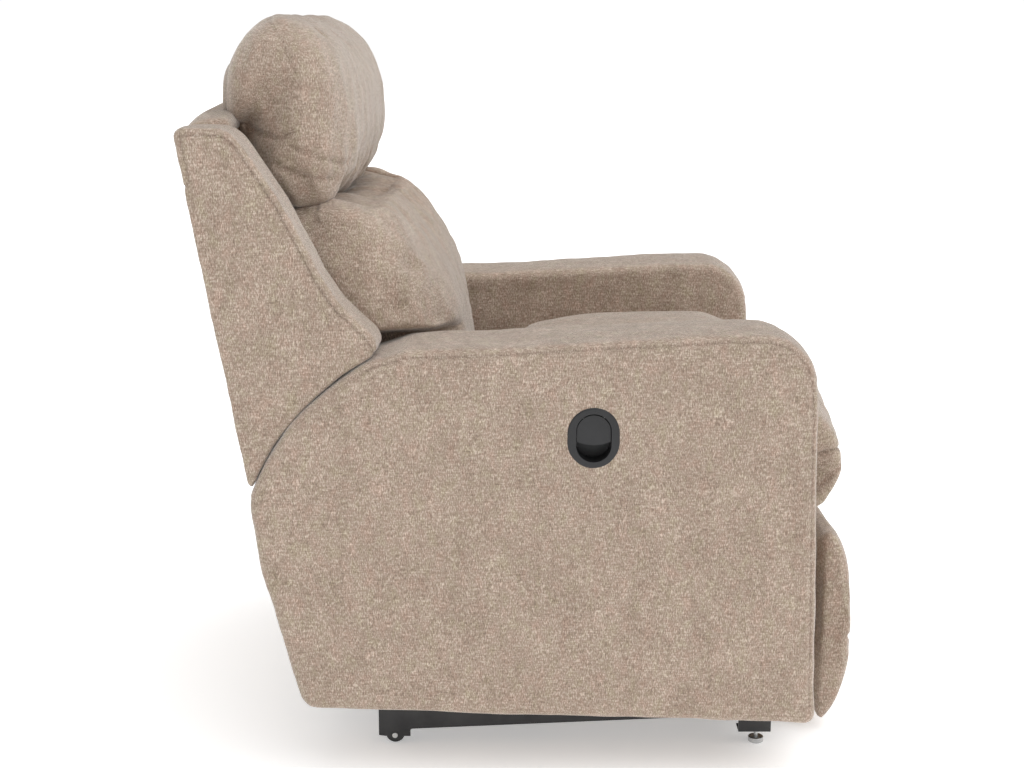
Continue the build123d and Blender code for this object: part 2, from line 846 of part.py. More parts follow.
def link_top_pin():
    """The pin on the back bracket that the recline link's slotted eye hangs on."""
    return stepped_pin(
        LINK_TOP,
        [
            (LAYER_1 + 1.5, LAYER_1, HEAD_RADIUS),
            (LAYER_1, LAYER_1 - STEEL, HOLE_RADIUS),
            (LAYER_1 - STEEL, LAYER_2, WASHER_RADIUS),
            (LAYER_2, LAYER_2 - STEEL, PIN_RADIUS),
            (LAYER_2 - STEEL, LAYER_2 - STEEL - 1.5, WASHER_RADIUS),
        ],
    )


def wing_outline():
    """The wing's side outline; its lower edge clears the arm's rear arc."""
    arc = [arc_point(WING_ARC_RADIUS, angle) for angle in (22.5, 42, 61)]
    ThreePointArc(*arc)
    Polyline(
        arc[2],
        (212, 632),
        (259, 681),
        (310, 773),
        (373, 881),
        (397, 909),
        (428, 917),
        (470, 911),
        (474.7, 900),
        (445, 728),
        BACK_FOOT,
        arc[0],
    )


def wing():
    """An upholstered side panel of the back."""
    with BuildPart() as panel:
        with BuildSketch(Plane.YZ.offset(-WING_OUTER)):
            with BuildLine():
                wing_outline()
            make_face()
        extrude(amount=WING_OUTER - WING_INNER)
    return panel


posts = pair(leaning_board(-POST_X[1], -POST_X[0], 12, 455, *POST_IN))
top_rail = leaning_board(-WING_INNER, WING_INNER, 457, 479, *POST_IN)
rail_half = POST_X[0] - JOINT_GAP
middle_rail = leaning_board(-rail_half, rail_half, 225, 265, 36, 60)
lower_rail = leaning_board(-rail_half, rail_half, 12, 52, 36, 60)
wing_rails = pair(leaning_board(-WING_INNER, -POST_X[1] - JOINT_GAP, 225, 265, 36, 60))

save(gather([posts, top_rail, middle_rail, lower_rail, wing_rails]), "back_frame")
save(leaning_board(-WING_INNER, WING_INNER, 8, 482, 0, 13), "back_panel")
save_sides(wing(), "wing")
save_sides(back_bracket(), "back_bracket")
save(pair(link_top_pin()), "recline_link_pins")
save(
    pair(
        link_bar(
            LINK_FOOT,
            LINK_TOP,
            LAYER_2,
            [(LINK_FOOT, HOLE_RADIUS), (LINK_TOP, HOLE_RADIUS + 3)],
        )
    ),
    "recline_links",
)


def lumbar_cushion():
    """The lower back cushion, narrow between the arms and wide above them."""
    rear_low, rear_high = on_back(14, 66), on_back(368, 66)
    outline = [
        (112, 362),
        (205, 362),
        rear_low,
        rear_high,
        (300, 811),
        (240, 821),
        (203, 803),
        (143, 724),
        (100, 628),
        (86, 590),
    ]
    upper = [on_back(232, 66), rear_high, (300, 811), (240, 821), (203, 803), (156, 742), (128, 672)]
    with BuildPart() as cushion:
        add(soft_block(outline, 254, 10, 8).part)
        add(soft_block(upper, WING_INNER - 3, 9, 7).part)
    return cushion


HEAD_SIDE = [
    on_back(378, 66),
    on_back(484, 66),
    on_back(487, 33),
    (449, 965),
    (430, 1022),
    (396, 1056),
    (345, 1066),
    (293, 1054),
    (256, 1018),
    (241, 960),
    (240, 860),
    (252, 826),
]

save(lumbar_cushion(), "lumbar_cushion")
save(soft_block(HEAD_SIDE, WING_INNER - 5, 14, 12), "head_cushion")

back_springs = [
    zigzag_spring(x, on_back(56, 62.6), on_back(453, 62.6), loops=8) for x in SPRING_X
]
save(gather(back_springs), "back_springs")


# ---- footrest -----------------------------------------------------------------------


def link_pin(centre, first_x, reaches_next=True):
    """A rivet through one link layer and, where it does, the next."""
    steps = [
        (first_x + 1.5, first_x, HEAD_RADIUS),
        (first_x, first_x - STEEL, HOLE_RADIUS),
        (first_x - STEEL, first_x - STEEL - 1.6, WASHER_RADIUS),
    ]
    if reaches_next:
        second = first_x - 5
        steps += [
            (first_x - STEEL - 1.6, second - STEEL, PIN_RADIUS),
            (second - STEEL, second - STEEL - 1.4, HEAD_RADIUS),
        ]
    return stepped_pin(centre, steps)


def lift_link():
    """The long link on the torque tube, with its two rivets."""
    bar = link_bar(
        LIFT_PIVOT,
        LIFT_END,
        LAYER_1,
        [(LIFT_PIVOT, HOLE_RADIUS), (CROSS_PIVOT, HOLE_RADIUS), (LIFT_END, HOLE_RADIUS)],
    )
    return gather([bar, link_pin(CROSS_PIVOT, LAYER_1), link_pin(LIFT_END, LAYER_1)])


def guide_link():
    """The link that runs beside the long link."""
    return link_bar(
        FRONT_STEP_PIVOT,
        CROSS_END,
        LAYER_1,
        [(FRONT_STEP_PIVOT, HOLE_RADIUS), (CROSS_END, HOLE_RADIUS)],
    )


def cross_end_pin():
    """The rivet on the crossing link's rear end, turning in the guide link."""
    return stepped_pin(
        CROSS_END,
        [
            (LAYER_1 + 1.5, LAYER_1, HEAD_RADIUS),
            (LAYER_1, LAYER_1 - STEEL, PIN_RADIUS),
            (LAYER_1 - STEEL, LAYER_2, WASHER_RADIUS),
            (LAYER_2, LAYER_2 - STEEL, HOLE_RADIUS),
            (LAYER_2 - STEEL, LAYER_2 - STEEL - 1.4, HEAD_RADIUS),
        ],
    )


def cross_link():
    """The crossing link from the guide link to the footrest's upper pivot."""
    bar = link_bar(
        CROSS_END,
        FOOT_UPPER,
        LAYER_2,
        [(CROSS_END, HOLE_RADIUS), (CROSS_PIVOT, HOLE_RADIUS), (FOOT_UPPER, HOLE_RADIUS)],
    )
    return gather([bar, cross_end_pin(), link_pin(FOOT_UPPER, LAYER_2)])


def lower_link():
    """The link from the long link's end to the footrest's lower pivot."""
    bar = link_bar(
        LIFT_END,
        FOOT_LOWER,
        LAYER_2,
        [(LIFT_END, HOLE_RADIUS), (FOOT_LOWER, HOLE_RADIUS)],
    )
    return gather([bar, link_pin(FOOT_LOWER, LAYER_2, reaches_next=False)])


def footrest_bracket():
    """A steel angle: one flange on the board, one with the two pivot holes."""
    y, z_high = FOOT_UPPER
    z_low = FOOT_LOWER[1]
    outline = [
        (BOARD_REAR, z_low - 25),
        (BOARD_REAR, z_high + 22),
        (y + 8, z_high + 12),
        (y + 12, z_high),
        (y + 12, z_low),
        (y + 8, z_low - 12),
    ]
    holes = [(y, z_high, HOLE_RADIUS), (y, z_low, HOLE_RADIUS)]
    with BuildPart() as angle:
        add(plate(outline, -LAYER_3, STEEL, holes=holes).part)
        add(board(-LAYER_3, -LAYER_3 + 28, BOARD_REAR, BOARD_REAR + 2.5, z_low - 25, z_high + 22).part)
    return angle


def torque_tube():
    """The round tube that makes both long links turn together."""
    half = LAYER_1 - STEEL
    with BuildPart() as tube:
        with BuildSketch(Plane.YZ.offset(-half)):
            with Locations(LIFT_PIVOT):
                Circle(TORQUE_RADIUS)
                Circle(TORQUE_RADIUS - 1.5, mode=Mode.SUBTRACT)
        extrude(amount=2 * half)
    return tube


save(pair(lift_link()), "footrest_lift_links")
save(pair(guide_link()), "footrest_guide_links")
save(pair(cross_link()), "footrest_cross_links")
save(pair(lower_link()), "footrest_lower_links")
save(torque_tube(), "torque_tube")
save(pair(footrest_bracket()), "footrest_brackets")
save(board(-250, 250, BOARD_FRONT, BOARD_REAR, 42, 296), "footrest_board")
save(soft_block(PAD_SIDE, SEAT_HALF, 6, 5), "footrest_pad")
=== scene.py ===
import json
import math

import bpy
import numpy as np
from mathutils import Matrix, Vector, noise


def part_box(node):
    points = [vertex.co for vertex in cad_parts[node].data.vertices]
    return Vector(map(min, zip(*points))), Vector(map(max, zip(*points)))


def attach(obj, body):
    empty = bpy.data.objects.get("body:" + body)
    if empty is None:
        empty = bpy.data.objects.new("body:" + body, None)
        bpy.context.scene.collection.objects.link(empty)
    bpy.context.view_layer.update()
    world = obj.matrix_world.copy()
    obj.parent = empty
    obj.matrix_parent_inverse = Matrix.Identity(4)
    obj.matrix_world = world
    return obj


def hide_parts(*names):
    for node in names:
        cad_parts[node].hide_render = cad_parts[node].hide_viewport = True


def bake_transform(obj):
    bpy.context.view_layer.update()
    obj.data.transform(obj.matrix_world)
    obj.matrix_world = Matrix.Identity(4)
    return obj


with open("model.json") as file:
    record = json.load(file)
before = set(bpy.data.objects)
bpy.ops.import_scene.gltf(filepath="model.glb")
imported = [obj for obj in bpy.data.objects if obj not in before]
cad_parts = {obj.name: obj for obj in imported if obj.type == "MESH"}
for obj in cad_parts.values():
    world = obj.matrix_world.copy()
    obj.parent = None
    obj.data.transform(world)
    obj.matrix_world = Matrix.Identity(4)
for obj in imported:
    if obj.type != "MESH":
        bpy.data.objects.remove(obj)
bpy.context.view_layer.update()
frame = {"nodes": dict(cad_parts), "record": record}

MM = 0.001

# The chair's main places, from the frame. The front is -Y and the sitter's right is -X.
arm_low, arm_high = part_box("arm_cover_right")
ARM_OUTER = -arm_low[0]
ARM_INNER = -arm_high[0]
wing_low, wing_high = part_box("wing_right")
WING_OUTER = -wing_low[0]
WING_INNER = -wing_high[0]
bezel_low, bezel_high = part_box("handle_bezel")
HANDLE_Y = (bezel_low[1] + bezel_high[1]) / 2
HANDLE_Z = (bezel_low[2] + bezel_high[2]) / 2

# The arm's rear arc, which the back's wing sweeps round: its centre in the side view.
ARC_CENTRE = (48 * MM, 283 * MM)
ARM_ARC = 364.5 * MM
WING_ARC = 366.2 * MM

# Sewing: how wide the painted shade line along a seam or fold is, and the two waves that pucker a seam.
SEAM_SHADE_WIDTH = 1.7 * MM
PUCKER_WAVES = (420, 137)


# ---- small helpers ------------------------------------------------------------------
def deselect():
    """Clears the selection, so an operator acts only on what is picked next."""
    bpy.ops.object.select_all(action="DESELECT")


def pick(piece):
    """Makes one piece the only selected and active one."""
    deselect()
    piece.select_set(True)
    bpy.context.view_layer.objects.active = piece


def apply_modifier(piece, kind, **settings):
    """Adds a modifier with its settings and applies it."""
    modifier = piece.modifiers.new(kind.title(), kind)
    for key, value in settings.items():
        setattr(modifier, key, value)
    pick(piece)
    bpy.ops.object.modifier_apply(modifier=modifier.name)


def read_points(piece):
    """The piece's vertices as an array of rows x, y, z."""
    points = np.empty(len(piece.data.vertices) * 3)
    piece.data.vertices.foreach_get("co", points)
    return points.reshape(-1, 3)


def write_points(piece, points):
    """Moves the piece's vertices to the rows given."""
    piece.data.vertices.foreach_set("co", np.ascontiguousarray(points).ravel())
    piece.data.update()


def read_normals(piece):
    """The vertex normals as rows."""
    normals = np.empty(len(piece.data.vertices) * 3)
    piece.data.vertex_normals.foreach_get("vector", normals)
    return normals.reshape(-1, 3)


def arc(radius, start, end, count):
    """Side-view points round the arm's arc centre, between two angles in degrees."""
    turns = [math.radians(start + (end - start) * i / (count - 1)) for i in range(count)]
    return [(ARC_CENTRE[0] + radius * math.cos(t), ARC_CENTRE[1] + radius * math.sin(t)) for t in turns]


def millimetres(points):
    """Side-view points given in mm, turned into metres."""
    return [(y * MM, z * MM) for y, z in points]


def rounded(corners, steps=7):
    """Side-view points with each corner (y mm, z mm, radius mm) turned into a bend."""
    count = len(corners)
    points = []
    for i, (y, z, radius) in enumerate(corners):
        corner = Vector((y, z)) * MM
        before = Vector(corners[i - 1][:2]) * MM - corner
        after = Vector(corners[(i + 1) % count][:2]) * MM - corner
        reach = min(radius * MM, before.length * 0.48, after.length * 0.48)
        if reach < 1e-4:
            points.append(tuple(corner))
            continue
        start = corner + before.normalized() * reach
        end = corner + after.normalized() * reach
        for step in range(steps):
            t = step / (steps - 1)
            bend = start * (1 - t) ** 2 + corner * 2 * t * (1 - t) + end * t ** 2
            points.append(tuple(bend))
    return points


def side_block(name, outline, x_low, x_high, rounding):
    """A block cut to a side-view outline across part of the chair, its rims rounded."""
    deselect()
    bpy.ops.mesh.primitive_circle_add(vertices=len(outline), radius=1, fill_type="NGON")
    block = bpy.context.object
    block.name = name
    write_points(block, np.array([(x_low, y, z) for y, z in outline]))
    bpy.ops.object.mode_set(mode="EDIT")
    bpy.ops.mesh.select_all(action="SELECT")
    bpy.ops.mesh.extrude_region_move(TRANSFORM_OT_translate={"value": (x_high - x_low, 0, 0)})
    bpy.ops.mesh.select_all(action="SELECT")
    bpy.ops.mesh.normals_make_consistent(inside=False)
    bpy.ops.object.mode_set(mode="OBJECT")
    apply_modifier(
        block, "BEVEL", width=rounding, segments=4, limit_method="ANGLE",
        angle_limit=math.radians(50), use_clamp_overlap=True,
    )
    return block


def soften(piece, voxel, passes):
    """Turns a block into an even, softly rounded skin."""
    apply_modifier(piece, "REMESH", mode="VOXEL", voxel_size=voxel, adaptivity=0)
    apply_modifier(piece, "SMOOTH", factor=0.5, iterations=passes)


def plump(piece, cap, pressure=4.0, frames=20):
    """Swells a cushion by a cloth simulation; no point moves further than cap."""
    rest = read_points(piece)
    cloth = piece.modifiers.new("Cloth", "CLOTH")
    cloth.settings.use_pressure = True
    cloth.settings.uniform_pressure_force = pressure
    cloth.settings.effector_weights.gravity = 0
    cloth.settings.quality = 4
    cloth.point_cache.frame_start = 1
    cloth.point_cache.frame_end = frames
    for step in range(1, frames + 1):
        bpy.context.scene.frame_set(step)
    pick(piece)
    bpy.ops.object.modifier_apply(modifier="Cloth")
    bpy.context.scene.frame_set(1)
    moved = read_points(piece) - rest
    length = np.linalg.norm(moved, axis=1, keepdims=True)
    write_points(piece, rest + moved * np.minimum(1, cap / np.maximum(length, 1e-9)))


def dome(piece, outline, half, reach):
    """Draws a bolster's flat ends in towards their rims, so that they round off."""
    points = read_points(piece)
    depth = np.clip(line_distance(points[:, 1:], closed(outline)) / reach, 0, 1)
    cap = reach * (1 - np.sqrt(1 - (1 - depth) ** 2))
    side = np.abs(points[:, 0])
    points[:, 0] -= np.sign(points[:, 0]) * cap * ramp(side, half - 1.6 * reach, half)
    write_points(piece, points)


def fit(piece, low, high):
    """Scales a swollen cushion back to the space that it was cut for."""
    points = read_points(piece)
    now_low, now_high = points.min(axis=0), points.max(axis=0)
    write_points(piece, low + (points - now_low) / (now_high - now_low) * (high - low))


def stuff(piece, cap):
    """Swells a cushion, then fits it back into the space that it was cut for."""
    low, high = read_points(piece).min(axis=0), read_points(piece).max(axis=0)
    plump(piece, cap)
    fit(piece, low, high)


def finish_skin(piece):
    """One subdivision and smooth shading."""
    apply_modifier(piece, "SUBSURF", levels=1, render_levels=1)
    pick(piece)
    bpy.ops.object.shade_smooth()


def line_distance(points, line):
    """Distance of each 2-D point to an open line of 2-D points."""
    line = np.array(line)
    best = np.full(len(points), 1e9)
    for a, b in zip(line[:-1], line[1:]):
        run = b - a
        share = np.clip(((points - a) @ run) / max(run @ run, 1e-12), 0, 1)
        gap = points - a - share[:, None] * run
        best = np.minimum(best, np.hypot(gap[:, 0], gap[:, 1]))
    return best


def closed(line):
    """A closed outline as an open line that returns to its start."""
    return list(line) + [line[0]]


def groove(piece, line, width, depth, axes=(1, 2), where=None, inset=0.0, pucker=0.0, crease_shade=0.0):
    """Presses a line into a skin, seen along the axis left out of axes, and paints shade along it."""
    points, normals = read_points(piece), read_normals(piece)
    gap = np.abs(line_distance(points[:, axes], line) - inset)
    weight = np.ones(len(points)) if where is None else where(points, normals)
    press = depth * np.exp(-((gap / width) ** 2)) * weight
    if pucker:
        along = points.sum(axis=1)
        press *= 1 + pucker * np.sin(along * PUCKER_WAVES[0]) * np.sin(along * PUCKER_WAVES[1] + 1)
    write_points(piece, points - normals * press[:, None])
    # Painted shade: a dark line in the colour along the groove, where its crease would be shaded.
    if crease_shade:
        paint_seam_shade(piece, crease_shade * weight * np.exp(-((gap / SEAM_SHADE_WIDTH) ** 2)))


def paint_seam_shade(piece, strength):
    """Adds to the attribute that paints shade into the fabric along its seams and creases."""
    seam_shade = piece.data.attributes.get("seam_shade")
    if seam_shade is None:
        seam_shade = piece.data.attributes.new("seam_shade", "FLOAT", "POINT")
    known = np.zeros(len(strength))
    seam_shade.data.foreach_get("value", known)
    seam_shade.data.foreach_set("value", np.maximum(known, strength))


def swell(piece, amount, where):
    """Pushes a skin out along its normals by an amount that varies over it."""
    points, normals = read_points(piece), read_normals(piece)
    write_points(piece, points + normals * (amount * where(points, normals))[:, None])


def rumple(piece, height, size, stretch=(1, 1, 1), seed=0.0, where=None):
    """Gentle unevenness of stuffed fabric, from smooth noise stretched along an axis."""
    points, normals = read_points(piece), read_normals(piece)
    scaled = points / size * np.array(stretch) + seed
    lift = np.array([noise.noise(Vector(row)) for row in scaled]) * height
    if where is not None:
        lift = lift * where(points, normals)
    write_points(piece, points + normals * lift[:, None])


def ramp(values, low, high):
    """0 below low, 1 above high, smooth between; low may be the larger."""
    share = np.clip((values - low) / (high - low), 0, 1)
    return share * share * (3 - 2 * share)


def mirror_copy(piece, name):
    """A mirrored copy on the chair's other side, with its own mesh."""
    twin = piece.copy()
    twin.data = piece.data.copy()
    twin.name = name
    bpy.context.collection.objects.link(twin)
    points = read_points(twin)
    points[:, 0] *= -1
    write_points(twin, points)
    pick(twin)
    bpy.ops.object.mode_set(mode="EDIT")
    bpy.ops.mesh.select_all(action="SELECT")
    bpy.ops.mesh.flip_normals()
    bpy.ops.object.mode_set(mode="OBJECT")
    return twin


def dress(piece, body, replaced):
    """Gives a fabric piece its material and its body, and hides the CAD nodes that it stands for."""
    piece.data.materials.clear()
    piece.data.materials.append(chenille)
    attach(piece, body)
    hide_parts(*replaced)


# ---- materials ----------------------------------------------------------------------
def new_material(name):
    """An empty node material: its tree, its surface shader and its object coordinates."""
    material = bpy.data.materials.new(name)
    material.use_nodes = True
    tree = material.node_tree
    shader = tree.nodes["Principled BSDF"]
    place = tree.nodes.new("ShaderNodeTexCoord").outputs["Object"]
    return material, tree, shader, place


def noise_node(tree, place, scale, detail=3, roughness=0.55, stretch=(1, 1, 1)):
    """Noise over the object's own coordinates, stretched along an axis."""
    mapping = tree.nodes.new("ShaderNodeMapping")
    mapping.inputs["Scale"].default_value = stretch
    tree.links.new(place, mapping.inputs["Vector"])
    grain = tree.nodes.new("ShaderNodeTexNoise")
    grain.inputs["Scale"].default_value = scale
    grain.inputs["Detail"].default_value = detail
    grain.inputs["Roughness"].default_value = roughness
    tree.links.new(mapping.outputs["Vector"], grain.inputs["Vector"])
    return grain.outputs["Fac"]


def colour_ramp(tree, value, stops):
    """A colour for each value; stops are (position, (r, g, b))."""
    node = tree.nodes.new("ShaderNodeValToRGB")
    elements = node.color_ramp.elements
    while len(elements) < len(stops):
        elements.new(0.5)
    for element, (position, rgb) in zip(elements, stops):
        element.position = position
        element.color = (*rgb, 1)
    tree.links.new(value, node.inputs["Fac"])
    return node.outputs["Color"]


def mix_colours(tree, share, first, second, blend="MIX"):
    """Mixes two colours by a share, which is a socket or a number."""
    node = tree.nodes.new("ShaderNodeMix")
    node.data_type = "RGBA"
    node.blend_type = blend
    for socket, value in ((node.inputs[0], share), (node.inputs[6], first), (node.inputs[7], second)):
        if isinstance(value, bpy.types.NodeSocket):
            tree.links.new(value, socket)
        else:
            socket.default_value = value
    return node.outputs[2]


def maths(tree, operation, first, second=0.5):
    """One Math node on two sockets or numbers."""
    node = tree.nodes.new("ShaderNodeMath")
    node.operation = operation
    for socket, value in zip(node.inputs, (first, second)):
        if isinstance(value, bpy.types.NodeSocket):
            tree.links.new(value, socket)
        else:
            socket.default_value = value
    return node.outputs[0]


def add_bump(tree, shader, height, distance, strength=1.0):
    """Drives the surface's bump from a height."""
    bump = tree.nodes.new("ShaderNodeBump")
    bump.inputs["Strength"].default_value = strength
    bump.inputs["Distance"].default_value = distance
    tree.links.new(height, bump.inputs["Height"])
    tree.links.new(bump.outputs["Normal"], shader.inputs["Normal"])


# Painted shade: the near-black that the fabric is darkened towards along seams, folds and pulls.
SEAM_SHADE_COLOUR = (0.09, 0.065, 0.05, 1)
WORN_COLOUR = (0.66, 0.56, 0.47, 1)
RIB_SCALE = 820


def make_chenille():
    """Taupe chenille: broken vertical ribs of tufted yarn, heathered, with a soft sheen."""
    material, tree, shader, place = new_material("taupe_chenille")
    upright = noise_node(tree, place, RIB_SCALE, 2, 0.6, stretch=(1, 1, 0.30))
    lengthwise = noise_node(tree, place, RIB_SCALE, 2, 0.6, stretch=(1, 0.30, 1))
    normal = tree.nodes.new("ShaderNodeNewGeometry").outputs["Normal"]
    split = tree.nodes.new("ShaderNodeSeparateXYZ")
    tree.links.new(normal, split.inputs[0])
    facing_up = maths(tree, "GREATER_THAN", maths(tree, "ABSOLUTE", split.outputs["Z"]), 0.7)
    rib = tree.nodes.new("ShaderNodeMix")
    tree.links.new(facing_up, rib.inputs[0])
    tree.links.new(upright, rib.inputs[2])
    tree.links.new(lengthwise, rib.inputs[3])
    threads = rib.outputs[0]
    courses = noise_node(tree, place, 330, 2, 0.5, stretch=(0.25, 0.25, 1.6))
    along, over = maths(tree, "MULTIPLY", threads, 0.74), maths(tree, "MULTIPLY", courses, 0.26)
    ribs = maths(tree, "ADD", along, over)
    yarn = colour_ramp(tree, ribs, [
        (0.35, (0.225, 0.166, 0.126)),
        (0.45, (0.330, 0.250, 0.195)),
        (0.55, (0.455, 0.362, 0.292)),
        (0.65, (0.690, 0.590, 0.505)),
    ])
    heather = noise_node(tree, place, 60, 5, 0.7, stretch=(1, 1, 0.6))
    warm = colour_ramp(tree, heather, [
        (0.34, (0.97, 1.01, 0.93)),
        (0.50, (1.00, 1.00, 1.00)),
        (0.66, (1.04, 0.97, 0.96)),
    ])
    cloudy = noise_node(tree, place, 26, 6, 0.62, stretch=(1, 1, 0.6))
    cloud = colour_ramp(tree, cloudy, [(0.36, (0.92, 0.91, 0.90)), (0.64, (1.07, 1.07, 1.07))])
    tinted = mix_colours(tree, 1.0, yarn, warm, "MULTIPLY")
    shaded = mix_colours(tree, 1.0, tinted, cloud, "MULTIPLY")
    worn = tree.nodes.new("ShaderNodeNewGeometry").outputs["Pointiness"]
    edge = colour_ramp(tree, worn, [(0.49, (0, 0, 0)), (0.56, (0.22, 0.22, 0.22))])
    final = mix_colours(tree, edge, shaded, WORN_COLOUR)
    # Painted shade along seams, folds and pulls, read from the seam shade attribute.
    seam_shade = tree.nodes.new("ShaderNodeAttribute")
    seam_shade.attribute_name = "seam_shade"
    seam_shade_share = maths(tree, "MULTIPLY", seam_shade.outputs["Fac"], 0.75)
    seam_shaded = mix_colours(tree, seam_shade_share, final, SEAM_SHADE_COLOUR)
    tree.links.new(seam_shaded, shader.inputs["Base Color"])
    shader.inputs["Roughness"].default_value = 0.92
    shader.inputs["Specular IOR Level"].default_value = 0.25
    shader.inputs["Sheen Weight"].default_value = 0.85
    shader.inputs["Sheen Roughness"].default_value = 0.30
    shader.inputs["Sheen Tint"].default_value = (1.0, 0.98, 0.95, 1)
    fine = noise_node(tree, place, 1500, 2, 0.6)
    height = maths(tree, "ADD", ribs, maths(tree, "MULTIPLY", fine, 0.35))
    add_bump(tree, shader, height, 0.0016, 0.75)
    return material


def make_metal(name, low, high, roughness, metallic, grain=240, stretch=(1, 1, 1), bump=0.00012):
    """Steel or plate whose tone and gloss vary a little, with fine grain."""
    material, tree, shader, place = new_material(name)
    grain_value = noise_node(tree, place, grain, 4, 0.6, stretch=stretch)
    broad = noise_node(tree, place, 22, 3)
    tone = colour_ramp(tree, broad, [(0.35, low), (0.68, high)])
    tree.links.new(tone, shader.inputs["Base Color"])
    gloss = maths(tree, "MULTIPLY_ADD", grain_value, 0.22)
    gloss.node.inputs[2].default_value = roughness - 0.11
    tree.links.new(gloss, shader.inputs["Roughness"])
    shader.inputs["Metallic"].default_value = metallic
    add_bump(tree, shader, grain_value, bump, 0.5)
    return material


def make_plastic(name, tone, roughness):
    """Moulded plastic with a fine spark-eroded grain."""
    material, tree, shader, place = new_material(name)
    grain = noise_node(tree, place, 2600, 2)
    broad = noise_node(tree, place, 40, 3)
    lighter = tuple(c * 1.5 for c in tone)
    colour = colour_ramp(tree, broad, [(0.35, tone), (0.7, lighter)])
    tree.links.new(colour, shader.inputs["Base Color"])
    gloss = maths(tree, "MULTIPLY_ADD", broad, 0.15)
    gloss.node.inputs[2].default_value = roughness - 0.07
    tree.links.new(gloss, shader.inputs["Roughness"])
    add_bump(tree, shader, grain, 0.00015, 0.35)
    return material


def make_wood():
    """Raw softwood and plywood with long grain."""
    material, tree, shader, place = new_material("raw_wood")
    grain = noise_node(tree, place, 60, 6, 0.65, stretch=(1, 0.08, 1))
    colour = colour_ramp(tree, grain, [
        (0.30, (0.36, 0.22, 0.11)),
        (0.50, (0.58, 0.40, 0.23)),
        (0.72, (0.71, 0.53, 0.33)),
    ])
    tree.links.new(colour, shader.inputs["Base Color"])
    shader.inputs["Roughness"].default_value = 0.72
    add_bump(tree, shader, grain, 0.0006, 0.5)
    return material


chenille = make_chenille()
FINISHES = {
    "chenille_fabric": chenille,
    "black_steel": make_metal("black_enamel_steel", (0.014, 0.014, 0.015), (0.03, 0.03, 0.031), 0.42, 0.0),
    "zinc_steel": make_metal("bright_zinc", (0.50, 0.51, 0.52), (0.68, 0.68, 0.66), 0.34, 1.0, 500),
    "spring_steel": make_metal("oiled_spring_wire", (0.10, 0.10, 0.11), (0.22, 0.22, 0.23), 0.4, 1.0, 400),
    "wood": make_wood(),
    "black_plastic": make_plastic("satin_black_plastic", (0.012, 0.012, 0.013), 0.42),
    "nylon": make_plastic("black_nylon", (0.02, 0.02, 0.02), 0.5),
}


def finish_nodes():
    """Gives every CAD node the material of its slot."""
    slots = {row["node"]: row["material_slot"] for row in frame["record"]["subparts"]}
    for name, node in frame["nodes"].items():
        for place in node.material_slots:
            place.material = FINISHES[slots[name]]


# ---- arms ---------------------------------------------------------------------------
ARM_OUTLINE = (
    rounded([(-398, 83, 0), (316, 105, 0)])
    + millimetres([(327, 122), (374, 299), (389, 404)])
    + arc(ARM_ARC, 22.5, 62, 12)
    + rounded([(170, 619, 0), (60, 622, 0), (-60, 629, 0), (-160, 634, 0), (-262, 640, 0)])
    + millimetres([(-322, 639), (-344, 632), (-362, 620), (-376, 602), (-384, 578), (-387, 548)])
)
HANDLE_HOLE = (0.071, 0.058, 1)
HANDLE_CUT_DEPTH = 0.09


def outer_rim(points, normals):
    """1 on the arm's outer face and its rounded rim, 0 elsewhere."""
    return ramp(np.abs(points[:, 0]), ARM_OUTER - 0.030, ARM_OUTER - 0.012)


def make_arm(name):
    """An upholstered arm: flat outer panel, boxing strip over the top and front."""
    arm = side_block(name, ARM_OUTLINE, -ARM_OUTER, -ARM_INNER, 13 * MM)
    soften(arm, 5.5 * MM, 4)
    finish_skin(arm)
    middle_x = -(ARM_OUTER + ARM_INNER) / 2
    half = (ARM_OUTER - ARM_INNER) / 2
    rim = closed(ARM_OUTLINE)

    def crown(points, normals):
        return np.clip(1 - ((points[:, 0] - middle_x) / half) ** 2, 0, 1)

    def middle(points, normals):
        return ramp(line_distance(points[:, 1:], rim), 0, 0.09) * (np.abs(normals[:, 0]) > 0.5)

    swell(arm, 3 * MM, lambda p, n: crown(p, n) * (n[:, 2] > 0.2))
    swell(arm, 3.5 * MM, middle)
    rumple(arm, 2.2 * MM, 0.11, seed=3.1)
    rumple(arm, 1.2 * MM, 0.035, seed=7.7)
    upper = lambda p, n: outer_rim(p, n) * ramp(p[:, 2], 0.10, 0.13) * ramp(-p[:, 1], -0.30, -0.20)
    groove(arm, rim, 2.4 * MM, 1.8 * MM, where=upper, inset=8 * MM, pucker=0.2, crease_shade=0.3)
    return arm


def cut_handle_hole(arm):
    """Cuts the oval hole for the release handle's cup through the outer panel."""
    deselect()
    bpy.ops.mesh.primitive_cylinder_add(
        vertices=48, radius=0.5, depth=HANDLE_CUT_DEPTH,
        location=(-ARM_OUTER, HANDLE_Y, HANDLE_Z), rotation=(0, math.radians(90), 0),
    )
    cutter = bpy.context.object
    cutter.scale = HANDLE_HOLE
    bpy.ops.object.transform_apply(location=True, rotation=True, scale=True)
    apply_modifier(arm, "BOOLEAN", operation="DIFFERENCE", object=cutter, solver="EXACT")
    pick(cutter)
    bpy.ops.object.delete()
    pick(arm)
    bpy.ops.object.shade_smooth()


def build_arms():
    """Both arms; the sitter's right one has the release handle."""
    right = make_arm("arm_right")
    left = mirror_copy(right, "arm_left")
    cut_handle_hole(right)
    dress(right, "seat", ["arm_cover_right"])
    dress(left, "seat", ["arm_cover_left"])


# ---- back ---------------------------------------------------------------------------
WING_OUTLINE = arc(WING_ARC, 62, 22.6, 12) + millimetres([
    (392, 430), (400, 474), (423, 606), (445, 728),
    (466, 848), (475, 904), (474, 912), (466, 916),
    (437, 917), (413, 916), (399, 910), (388, 899),
    (373, 878), (335, 820), (310, 771), (285, 720),
    (259, 681), (233, 655), (215, 638), (208, 622),
])
WING_SEAM = WING_OUTLINE[16:]


